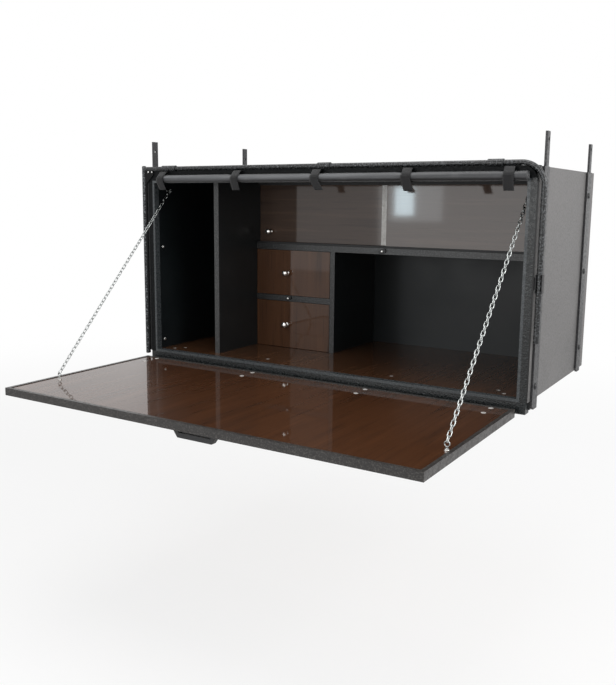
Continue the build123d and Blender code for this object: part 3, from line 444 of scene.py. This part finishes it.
# A darker copy of the frame's hammered paint: painted shade on the frame's top and left members.
frame_shade_paint = hammered_paint(
    "frame_paint_painted_shade", (0.0028, 0.0032, 0.0036), (0.010, 0.0115, 0.0125), gloss=0.40, fleck=2.0, shine=0.10
)
bar_paint = hammered_paint(
    "bar_hammered_grey", (0.016, 0.016, 0.017), (0.052, 0.052, 0.056), cell=0.0026, gloss=0.34
)
lip_paint = hammered_paint(
    "lip_grey_paint", (0.040, 0.046, 0.050), (0.080, 0.088, 0.092), cell=0.0028, depth=0.0002
)
edging_paint = hammered_paint(
    "door_edging_grey", (0.020, 0.018, 0.017), (0.072, 0.066, 0.061), cell=0.003, gloss=0.34, wear=0.6
)
skin_sheet = pebbled_sheet("pebbled_grey_sheet", (0.075, 0.073, 0.072), (0.145, 0.140, 0.139))
slate_board = faced_board("slate_faced_board", SLATE, PALE_SLATE)
shelf_edged = edged_board("shelf_banded_edge", SHELF_FRONT, (0.020, 0.021, 0.021), (0.060, 0.062, 0.064))
divider_edged = edged_board(
    "divider_banded_edge", DIVIDER_FRONT, (0.030, 0.031, 0.031), (0.075, 0.076, 0.076)
)
door_wood = glossy_wood(
    "door_brown_laminate", "Y", (0.010, 0.005, 0.003), (0.052, 0.0190, 0.0072), (0.074, 0.0280, 0.0110),
    coat=0.85, streak=0.5,
)
floor_wood = glossy_wood(
    "floor_brown_laminate", "Y", (0.012, 0.006, 0.004), (0.060, 0.0260, 0.0115), (0.080, 0.0350, 0.0155),
    coat=0.85, streak=0.45,
)
drawer_wood = glossy_wood(
    "drawer_brown_laminate", "Z", (0.024, 0.010, 0.005), (0.076, 0.032, 0.014), (0.115, 0.050, 0.022),
    streak=0.8,
)
panel_wood = glossy_wood(
    "panel_brown_laminate", "X", (0.024, 0.013, 0.010), (0.060, 0.037, 0.026), (0.085, 0.052, 0.036),
    streak=0.55, coat_rough=0.06,
)
core_x = bare_board("bare_board_along", "X")
core_y = bare_board("bare_board_deep", "Y")
zinc = bright_metal("bright_zinc", ZINC, (0.52, 0.52, 0.50), 0.26)
head_zinc = Finish("zinc_screw_heads", Base_Color=(0.66, 0.64, 0.62), Metallic=0.35, Roughness=0.45)
chain_zinc = bright_metal("chain_zinc", (0.50, 0.52, 0.51), (0.20, 0.21, 0.21), 0.20, 0.9)
polished = bright_metal("polished_knob", (0.86, 0.84, 0.81), (0.70, 0.68, 0.66), 0.09, 0.2)
strip_metal = bright_metal("satin_finger_strip", (0.25, 0.24, 0.23), (0.17, 0.16, 0.15), 0.40)
bolt_faces = two_faced_bolts("hanging_bolt_black_and_zinc")
black_mould = moulded_black("black_moulding", 0.014, 0.42)
groove_mould = moulded_black("groove_moulding", 0.010, 0.5)
awning_cloth = coated_cloth("coated_awning_cloth")
strap_weave = woven_strap("black_webbing", (0.0055, 0.0055, 0.006))

dressing = {
    frame_paint: "frame_bottom frame_right hinge_leaves hinge_straps",
    frame_shade_paint: "frame_top frame_left",
    tube_paint: "awning_rail awning_barrels",
    leg_paint: "awning_leg",
    bar_paint: "hangers_front hangers_rear",
    bolt_faces: "hanger_bolts",
    lip_paint: "opening_lip",
    edging_paint: "door_edging",
    skin_sheet: "side_skin_left side_skin_right top_skin back_skin door_skin",
    slate_board: "side_board_left side_board_right top_board back_board",
    shelf_edged: "shelf drawer_rail drawer_post",
    divider_edged: "left_divider",
    door_wood: "door_laminate",
    floor_wood: "floor_laminate",
    drawer_wood: "drawer_front_upper drawer_front_lower",
    panel_wood: "sliding_panel_left sliding_panel_right",
    core_x: "floor_board door_board",
    core_y: "drawer_tray_upper drawer_tray_lower",
    zinc: "button_screws hinge_pins door_eye_nuts gusset_screws",
    head_zinc: "hinge_bolts floor_screws",
    chain_zinc: "door_eyes wall_eyes chain_left chain_right",
    polished: "drawer_knob_upper drawer_knob_lower panel_knob",
    strip_metal: "panel_strip",
    black_mould: "rail_button shelf_button door_handle awning_caps awning_clip",
    groove_mould: "panel_tracks",
    awning_cloth: "canvas_roll",
    strap_weave: "strap_loops strap_tails",
}
for finish, names in dressing.items():
    for name in names.split():
        mesh = nodes[name].data
        if not mesh.materials:
            mesh.materials.append(finish.material)
        for i in range(len(mesh.materials)):
            mesh.materials[i] = finish.material


# ------------------------------------------------------------------ mesh helpers
def piece(name, corners, faces, finish, body, smooth=True):
    """A mesh with its faces turned outwards, in one finish, riding on a body where one is given."""
    mesh = bpy.data.meshes.new(name)
    mesh.from_pydata([tuple(c) for c in corners], [], faces)
    work = bmesh.new()
    work.from_mesh(mesh)
    bmesh.ops.recalc_face_normals(work, faces=work.faces)
    work.to_mesh(mesh)
    work.free()
    for face in mesh.polygons:
        face.use_smooth = smooth
    mesh.materials.append(finish.material)
    made = bpy.data.objects.new(name, mesh)
    bpy.context.scene.collection.objects.link(made)
    if body:
        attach(made, body)
    return made


def ring_faces(rings, sides, closed=False, first=0):
    """Faces between rings of corners with the same number of sides; closed joins the last to the first."""
    faces = []
    for i in range(rings if closed else rings - 1):
        here, there = first + i * sides, first + (i + 1) % rings * sides
        for k in range(sides):
            n = (k + 1) % sides
            faces.append((here + k, here + n, there + n, there + k))
    return faces


# ------------------------------------------------------------------ chains
BEND_STEPS = 8
WIRE_SIDES = 10
WELD_CORNERS = (13, 14)
WELD_SWELL = 1.12


def link_outline(straight):
    """The middle line of a link's wire: two half rounds, joined by straight sides."""
    outline = []
    for i in range(BEND_STEPS + 1):
        turn = math.radians(-90 + 180 / BEND_STEPS * i)
        outline.append((straight / 2 + LINK_HALF_WIDTH * math.cos(turn), LINK_HALF_WIDTH * math.sin(turn)))
    return outline + [(-u, -v) for u, v in outline]


def chain(side, x, eye_y):
    """Welded oval links, each turned square to the last, taut between its two eyes."""
    run = math.hypot(DOOR_EYE_Y - eye_y, DOOR_EYE_Z - WALL_EYE_Z)
    share = EYE_R / run
    top = spot(x, eye_y + (DOOR_EYE_Y - eye_y) * share, WALL_EYE_Z + (DOOR_EYE_Z - WALL_EYE_Z) * share)
    end = spot(x, DOOR_EYE_Y, DOOR_EYE_Z)
    # An end link's wire reaches this far past the middle line of its eye's wire.
    hold = SOLID_WIRE + EYE_WIRE + LINK_PLAY
    pitch = (run - EYE_R - LINK_PLAY - 2 * SOLID_WIRE + 2 * hold) / LINKS
    start = (pitch + LINK_PLAY) / 2 + SOLID_WIRE - hold
    outline = link_outline(pitch + LINK_PLAY + 2 * SOLID_WIRE - 2 * LINK_HALF_WIDTH)
    along = (end - top).normalized()
    flat = Vector((1, 0, 0))
    stood = along.cross(flat)
    corners, faces = [], []
    for n in range(LINKS):
        middle = top + along * (start + n * pitch) * MM
        wide, normal = (stood, flat) if n % 2 == 0 else (flat, stood)
        first = len(corners)
        for k, (u, v) in enumerate(outline):
            before, after = outline[k - 1], outline[(k + 1) % len(outline)]
            heading = Vector((after[0] - before[0], after[1] - before[1])).normalized()
            out = (along * heading.y - wide * heading.x) * -1
            centre = middle + (along * u + wide * v) * MM
            swell = WELD_SWELL if k in WELD_CORNERS else 1.0
            for s in range(WIRE_SIDES):
                a = math.tau * s / WIRE_SIDES
                corners.append(centre + (out * math.cos(a) + normal * math.sin(a)) * WIRE * swell * MM)
        faces += ring_faces(len(outline), WIRE_SIDES, True, first)
    made = piece(f"chain_links_{side}", corners, faces, chain_zinc, None)
    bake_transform(made)
    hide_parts(f"chain_{side}")


chain("left", 32.0, 62.0)
chain("right", 1163.5, 70.0)

# ------------------------------------------------------------------ rolled awning cloth
STEPS_IN_A_TURN = 22
STRAP_REACH, LET_OUT_OVER = 13.0, 17.0
DRAWN_IN = 0.905
NEAR_STRAP = 45.0
FINE_STEP, COARSE_STEP = 5.0, 10.0


def from_strap(x):
    """How far x lies from the middle of the nearest strap."""
    return min(abs(x - middle) for middle in STRAP_MIDDLES)


def squeeze(x):
    """What is left of the roll's thickness at x, where 1 is all of it: the straps draw it in."""
    t = min(1.0, max(0.0, (from_strap(x) - STRAP_REACH) / LET_OUT_OVER))
    return DRAWN_IN + (1 - DRAWN_IN) * t * t * (3 - 2 * t)


def roll_of_cloth():
    """One long sheet wound into a roll, gathered and creased beside the straps."""
    across = []
    x = ROLL_LEFT + END_GAP
    while x < ROLL_RIGHT - END_GAP:
        across.append(x)
        x += FINE_STEP if from_strap(x) < NEAR_STRAP else COARSE_STEP
    across.append(ROLL_RIGHT - END_GAP)
    steps = int(TURNS * STEPS_IN_A_TURN)
    corners = []
    for i in range(steps + 1):
        turn = TURNS * i / steps
        r = INNER_R + (OUTER_R - INNER_R) / TURNS * turn
        a = math.tau * (turn - TURNS) + OUTER_END
        for x in across:
            near = from_strap(x)
            gather = math.exp(-((near - 16.0) / 12.0) ** 2) if near > 12 else 0.4
            crease = noise.noise(Vector((x * 0.012, math.cos(a) * 1.4, math.sin(a) * 1.4)))
            fold = 0.020 * crease + 0.016 * gather * math.sin(a * 7 + x * 0.02)
            loose = squeeze(x) * (1.0 + fold * (r / OUTER_R))
            sag = 0.175 * noise.noise(Vector((x * 0.004, 3.0, 7.0)))
            y, z = ROLL_Y + r * loose * math.cos(a), ROLL_Z + sag + r * loose * math.sin(a)
            corners.append(spot(x, y, z))
    count = len(across)
    faces = [
        (i * count + k, i * count + k + 1, (i + 1) * count + k + 1, (i + 1) * count + k)
        for i in range(steps)
        for k in range(count - 1)
    ]
    made = piece("awning_cloth_roll", corners, faces, awning_cloth, "box")
    thick = made.modifiers.new("cloth_thickness", "SOLIDIFY")
    thick.thickness = CLOTH_THICK * MM
    thick.offset = 0
    bpy.context.view_layer.objects.active = made
    made.select_set(True)
    bpy.ops.object.modifier_apply(modifier=thick.name)
    made.select_set(False)
    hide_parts("canvas_roll")


roll_of_cloth()


# ------------------------------------------------------------------ black beads as painted shade in slits
def bead(name, low, high):
    """Square black bead that closes a slit beside the front frame, so the slit shows as painted shade."""
    (x0, y0, z0), (x1, y1, z1) = low, high
    corners = [spot(x, y, z) for z in (z0, z1) for y in (y0, y1) for x in (x0, x1)]
    faces = [(0, 1, 3, 2), (4, 6, 7, 5), (0, 4, 5, 1), (2, 3, 7, 6), (0, 2, 6, 4), (1, 5, 7, 3)]
    made = piece(name, corners, faces, black_mould, "box", smooth=False)


bead("shade_bead_top", (3.0, 8.0, 589.9), (1158.0, 10.0, 592.2))
bead("shade_bead_left", (-8.0, 0.3, 32.0), (-3.9, 2.4, 586.0))
bead("shade_bead_right_foot", (1200.1, 20.6, 8.4), (1203.9, 30.0, 29.9))


# ------------------------------------------------------------------ straps
STEPS_ACROSS = 4
THIN_EDGE = 0.55
TAIL_STEPS = 12


def band(name, path, left, width, lean):
    """Flat webbing along a path in Y and Z; lean is how far right it lies at each share of its length."""
    corners = []
    last = len(path) - 1
    for i, (y, z) in enumerate(path):
        before, after = path[max(0, i - 1)], path[min(last, i + 1)]
        heading = Vector((after[0] - before[0], after[1] - before[1])).normalized()
        out = Vector((heading.y, -heading.x))
        shift = lean(i / last)
        for side in (1, -1):
            for k in range(STEPS_ACROSS + 1):
                share = k / STEPS_ACROSS if side == 1 else 1 - k / STEPS_ACROSS
                at_edge = abs(share - 0.5) * 2 > 0.98
                half = STRAP_THICK / 2 * (THIN_EDGE if at_edge else 1.0) * side
                corners.append(spot(left + width * share + shift, y + out.x * half, z + out.y * half))
    count = 2 * (STEPS_ACROSS + 1)
    faces = ring_faces(len(path), count)
    faces += [tuple(range(count))[::-1], tuple(range(last * count, (last + 1) * count))]
    return piece(name, corners, faces, strap_weave, "box")


def loop_path():
    """From the frame's face under the tube, down the roll's front, under it and back up behind it."""
    path = [(-1.1, 584.6), (-2.8, 586.2), (-6.4, 587.3), (-10.5, 585.8), (-16.0, 581.4), (-21.0, 577.3)]
    for degrees in range(132, 421, 16):
        a = math.radians(degrees)
        path.append((ROLL_Y + STRAP_R * math.cos(a), ROLL_Z + STRAP_R * math.sin(a)))
    return path + [(-4.2, 576.4), (-1.4, 574.2), (-1.1, 572.4)]


def loop_lean(share):
    """A loop starts 6 mm to the left under the tube and is straight after a fifth of its length."""
    return -6.0 * max(0.0, 1 - share / 0.2)


def tail_lean(slant, hang):
    """A tail falls straight at first and then slants to the right, down to its end."""
    straight = TAIL_STRAIGHT / (hang + TAIL_TOP)
    return lambda share: slant * max(0.0, (share - straight) / (1 - straight))


def tail_path(n, hang):
    """A tail in front of the roll, a little bowed, its end turned in or out by turns."""
    path = []
    for i in range(TAIL_STEPS + 1):
        t = i / TAIL_STEPS
        bow = max(0.0, math.sin(math.pi * t) + 0.6 * math.sin(2.3 * t + n))
        curl = 0.6 * t * t * (1 if n % 2 else -0.4)
        path.append((TAIL_Y - 0.45 * bow + curl, ROLL_Z + TAIL_TOP - (hang + TAIL_TOP) * t))
    return path


loops, tails = [], []
for n, (left, width, slant, hang) in enumerate(STRAPS):
    loops.append(band(f"strap_loop_{n + 1}", loop_path(), left, width, loop_lean))
    tails.append(band(f"strap_tail_{n + 1}", tail_path(n, hang), left, width, tail_lean(slant, hang)))
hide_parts("strap_loops")
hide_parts("strap_tails")
for made in tails:
    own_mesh(made)

# ------------------------------------------------------------------ camera
CAMERA_PLACE = spot(1733.8, -1852.1, 504.4)
YAW, PITCH, ROLL = math.radians(-32.19), math.radians(-9.13), math.radians(0.48)
ahead = Vector((math.sin(YAW) * math.cos(PITCH), math.cos(YAW) * math.cos(PITCH), math.sin(PITCH)))
level = Vector((math.cos(YAW), -math.sin(YAW), 0))
above = level.cross(ahead)
right = level * math.cos(ROLL) + above * math.sin(ROLL)
up = above * math.cos(ROLL) - level * math.sin(ROLL)
lens = bpy.data.cameras.new("photo_camera")
lens.sensor_fit = "HORIZONTAL"
lens.sensor_width = SENSOR_WIDTH
lens.lens = FOCAL_LENGTH / PHOTO_WIDTH * SENSOR_WIDTH
lens.shift_x = MIDDLE_RIGHT / PHOTO_WIDTH
lens.shift_y = MIDDLE_UP / PHOTO_WIDTH
lens.clip_start = 0.05
camera = bpy.data.objects.new("photo_camera", lens)
turned = Matrix((right, up, -ahead)).transposed().to_4x4()
camera.matrix_world = Matrix.Translation(CAMERA_PLACE) @ turned
bpy.context.scene.collection.objects.link(camera)
bpy.context.scene.camera = camera
bpy.context.scene.view_settings.view_transform = "Standard"


# ------------------------------------------------------------------ lamps
def soft_lamp(name, place, look_at, wide, high, power, tint=PLAIN_WHITE):
    """A glowing rectangle, in metres and watts, that faces look_at."""
    light = bpy.data.lights.new(name, "AREA")
    light.shape = "RECTANGLE"
    light.size = wide
    light.size_y = high
    light.energy = power
    light.color = tint
    lamp = bpy.data.objects.new(name, light)
    lamp.location = place
    lamp.rotation_euler = (look_at - place).to_track_quat("-Z", "Y").to_euler()
    bpy.context.scene.collection.objects.link(lamp)


box_middle = spot(590, 200, 300)
soft_lamp("front_softbox", spot(225, -2000, 500), box_middle, 1.35, 1.0, 7.0)
soft_lamp("right_softbox", spot(3200, -300, 1500), box_middle, 1.8, 1.8, 40.0)
soft_lamp("top_softbox", spot(600, -400, 2600), box_middle, 2.0, 2.0, 30.0)
soft_lamp("window_haze", spot(-42, -1561, 500), spot(780, 262, 500), 0.28, 0.20, 0.29, (0.90, 0.96, 1.0))
soft_lamp("window_patch", spot(-98, -1536, 505), spot(724, 287, 505), 0.10, 0.15, 0.55, (0.74, 0.92, 1.0))

# ------------------------------------------------------------------ white room
world = bpy.data.worlds.new("white_room")
bpy.context.scene.world = world
world.use_nodes = True
room = Graph(world.node_tree)


def room_light(strength):
    """Plain white from all round."""
    return room.node("ShaderNodeBackground", {}, {"Color": PLAIN_WHITE, "Strength": strength})


def is_ray(graph, kind):
    """1 where the ray is of this kind and 0 elsewhere."""
    return graph.node("ShaderNodeLightPath", {}, {}, f"Is {kind} Ray")


def larger(first, second):
    return first.maths("MAXIMUM", first, second)


# The room looks white, also in a mirror, but lights the box with about half of that.
seen = larger(larger(is_ray(room, "Camera"), is_ray(room, "Glossy")), is_ray(room, "Transmission"))
lit = room.node("ShaderNodeMixShader", {}, {0: seen, 1: room_light(0.55), 2: room_light(1.0)})
room.node("ShaderNodeOutputWorld", {}, {0: lit}, out=None)

pale_floor = Finish("pale_floor", Base_Color=(0.95, 0.95, 0.95), Roughness=0.7)
from_middle = pale_floor.node("ShaderNodeVectorMath", {"operation": "LENGTH"}, {0: pale_floor.place}, "Value")
glow = pale_floor.node("ShaderNodeEmission", {}, {})
glowing = is_ray(pale_floor, "Camera") * pale_floor.rise(from_middle, 1.2, 4.5, 0.72, 1.0)
pale_floor.plug(
    pale_floor.end.inputs[0],
    pale_floor.node("ShaderNodeMixShader", {}, {0: glowing, 1: pale_floor.surface, 2: glow}),
)
floor_corners = [
    spot(x * FLOOR_REACH, y * FLOOR_REACH, FLOOR_Z)
    for x, y in ((-1, -1), (1, -1), (1, 1), (-1, 1))
]
ground = piece("pale_floor", floor_corners, [(0, 1, 2, 3)], pale_floor, None, smooth=False)
